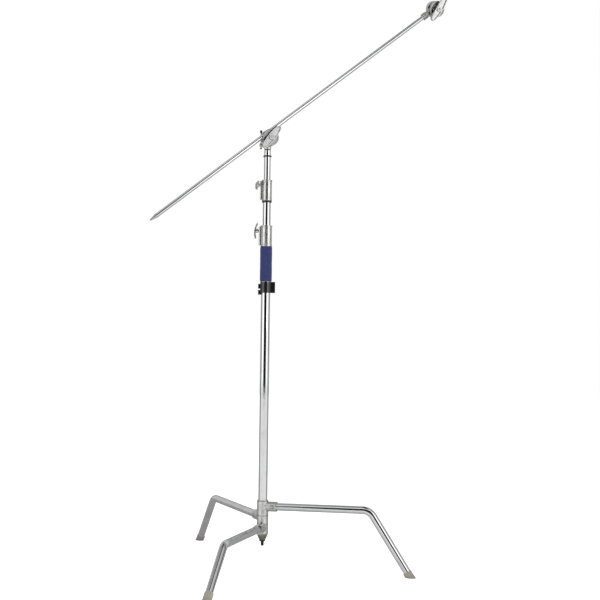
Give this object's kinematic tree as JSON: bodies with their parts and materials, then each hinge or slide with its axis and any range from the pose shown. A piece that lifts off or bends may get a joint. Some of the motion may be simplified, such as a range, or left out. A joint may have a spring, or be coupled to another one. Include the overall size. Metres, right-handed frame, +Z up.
{
  "type": "c stand",
  "caption": "Chromed grip stand with folding bent legs, telescoping column, swivelling grip head and a clamped boom arm with a second head.",
  "frame": {"origin": "on the floor, where the column's axis meets it", "axes": "+Z up along the column, +X towards the wing screws' opposite side and the right leg, +Y to the back"},
  "size_m": [1.1287, 1.0851, 2.2126],
  "materials": {
    "tube_chrome": "polished chrome plate",
    "casting_chrome": "satin chrome plate over a casting",
    "plate_steel": "turned and plated",
    "handle_chrome": "plated casting",
    "bolt_steel": "bright zinc plate",
    "dark_steel": "black oxide",
    "black_plastic": "glossy moulded",
    "blue_foam": "closed-cell foam",
    "foot_rubber": "matte moulded",
    "brass": "turned"
  },
  "bodies": {
    "base": {"column_tube": "tube_chrome", "base_plug": "casting_chrome", "base_nut": "dark_steel", "base_stud": "dark_steel", "hub_front": "casting_chrome", "leg_front": "tube_chrome", "leg_bolt_front": "bolt_steel", "foot_front": "foot_rubber", "hub_lock_ring": "casting_chrome", "grip_sleeve": "blue_foam", "arm_clip": "black_plastic", "collar_lower": "casting_chrome"},
    "left_leg": {"hub_left": "casting_chrome", "leg_left": "tube_chrome", "leg_bolt_left": "bolt_steel", "foot_left": "foot_rubber"},
    "right_leg": {"hub_right": "casting_chrome", "leg_right": "tube_chrome", "leg_bolt_right": "bolt_steel", "foot_right": "foot_rubber"},
    "lower_wing": {"wing_lower": "handle_chrome", "shoe_lower": "brass"},
    "lower_bush": {"bush_lower": "black_plastic"},
    "lower_riser": {"riser_lower": "tube_chrome", "bump_ring_lower": "black_plastic", "collar_upper": "casting_chrome"},
    "upper_wing": {"wing_upper": "handle_chrome", "shoe_upper": "brass"},
    "upper_bush": {"bush_upper": "black_plastic"},
    "upper_riser": {"riser_upper": "tube_chrome", "bump_ring_upper": "black_plastic", "top_pin": "tube_chrome", "pin_ring": "black_plastic"},
    "head": {"head_receiver": "casting_chrome", "head_bolt": "bolt_steel", "friction_washer": "plate_steel"},
    "lock_screw": {"receiver_screw": "bolt_steel", "receiver_tips": "black_plastic"},
    "inner_jaw": {"jaw_inner": "plate_steel"},
    "arm": {"arm_tube": "tube_chrome", "arm_tail": "bolt_steel", "far_plate": "casting_chrome", "far_pin": "bolt_steel", "far_bolt": "bolt_steel"},
    "head_washer": {"thrust_washer": "plate_steel"},
    "outer_jaw": {"jaw_outer": "plate_steel"},
    "head_handle": {"head_handle": "handle_chrome"},
    "far_washer": {"far_washer": "plate_steel"},
    "far_jaw": {"far_jaw": "plate_steel"},
    "far_handle": {"far_handle": "handle_chrome"}
  },
  "joints": [
    {"name": "left_leg_fold", "type": "hinge", "parent": "base", "child": "left_leg", "pos_m": [0, 0, 0], "axis": [0, 0, 1], "range_deg": [0, 128]},
    {"name": "right_leg_fold", "type": "hinge", "parent": "base", "child": "right_leg", "pos_m": [0, 0, 0], "axis": [0, 0, 1], "range_deg": [-88, 0]},
    {"name": "lower_wing_turn", "type": "hinge", "parent": "base", "child": "lower_wing", "pos_m": [-0.021, 0, 1.28], "axis": [-1, 0, 0], "continuous": true},
    {"name": "lower_riser_slide", "type": "slide", "parent": "base", "child": "lower_bush", "axis": [0, 0, 1], "range_m": [-0.085, 0.85]},
    {"name": "lower_riser_turn", "type": "hinge", "parent": "lower_bush", "child": "lower_riser", "pos_m": [0, 0, 0], "axis": [0, 0, 1], "continuous": true},
    {"name": "upper_wing_turn", "type": "hinge", "parent": "lower_riser", "child": "upper_wing", "pos_m": [-0.0185, 0, 1.4545], "axis": [-1, 0, 0], "continuous": true},
    {"name": "upper_riser_slide", "type": "slide", "parent": "lower_riser", "child": "upper_bush", "axis": [0, 0, 1], "range_m": [-0.085, 0.85]},
    {"name": "upper_riser_turn", "type": "hinge", "parent": "upper_bush", "child": "upper_riser", "pos_m": [0, 0, 0], "axis": [0, 0, 1], "continuous": true},
    {"name": "head_swivel", "type": "hinge", "parent": "upper_riser", "child": "head", "pos_m": [0, 0, 0], "axis": [0, 0, 1], "continuous": true},
    {"name": "lock_screw_turn", "type": "hinge", "parent": "head", "child": "lock_screw", "pos_m": [0, 0, 1.6065], "axis": [0.9659, 0.2588, 0], "range_deg": [-140, 0]},
    {"name": "arm_tilt", "type": "hinge", "parent": "head", "child": "inner_jaw", "pos_m": [0, 0, 1.6315], "axis": [0.2588, -0.9659, 0], "continuous": true},
    {"name": "arm_slide", "type": "slide", "parent": "inner_jaw", "child": "arm", "axis": [0.7622, 0.2042, 0.6143], "range_m": [-0.71, 0.48]},
    {"name": "head_clamp_slide", "type": "slide", "parent": "head", "child": "head_washer", "axis": [0.2588, -0.9659, 0], "range_m": [0, 0.0031]},
    {"name": "outer_jaw_turn", "type": "hinge", "parent": "head_washer", "child": "outer_jaw", "pos_m": [0, 0, 1.6315], "axis": [0.2588, -0.9659, 0], "continuous": true},
    {"name": "head_handle_turn", "type": "hinge", "parent": "head_washer", "child": "head_handle", "pos_m": [0, 0, 1.6315], "axis": [0.2588, -0.9659, 0], "range_deg": [0, 720]},
    {"name": "far_clamp_slide", "type": "slide", "parent": "arm", "child": "far_washer", "axis": [0.4036, -0.8919, -0.2042], "range_m": [0, 0.0031]},
    {"name": "far_jaw_turn", "type": "hinge", "parent": "far_washer", "child": "far_jaw", "pos_m": [0.64835, 0.13956, 2.1725], "axis": [0.4036, -0.8919, -0.2042], "continuous": true},
    {"name": "far_handle_turn", "type": "hinge", "parent": "far_washer", "child": "far_handle", "pos_m": [0.64835, 0.13956, 2.1725], "axis": [0.4036, -0.8919, -0.2042], "range_deg": [0, 720]}
  ],
  "couplings": [
    {"joint": "head_clamp_slide", "follows": "head_handle_turn", "m_per_rad": 0.00023873},
    {"joint": "outer_jaw_turn", "follows": "arm_tilt", "ratio": 1},
    {"joint": "far_clamp_slide", "follows": "far_handle_turn", "m_per_rad": 0.00023873}
  ]
}
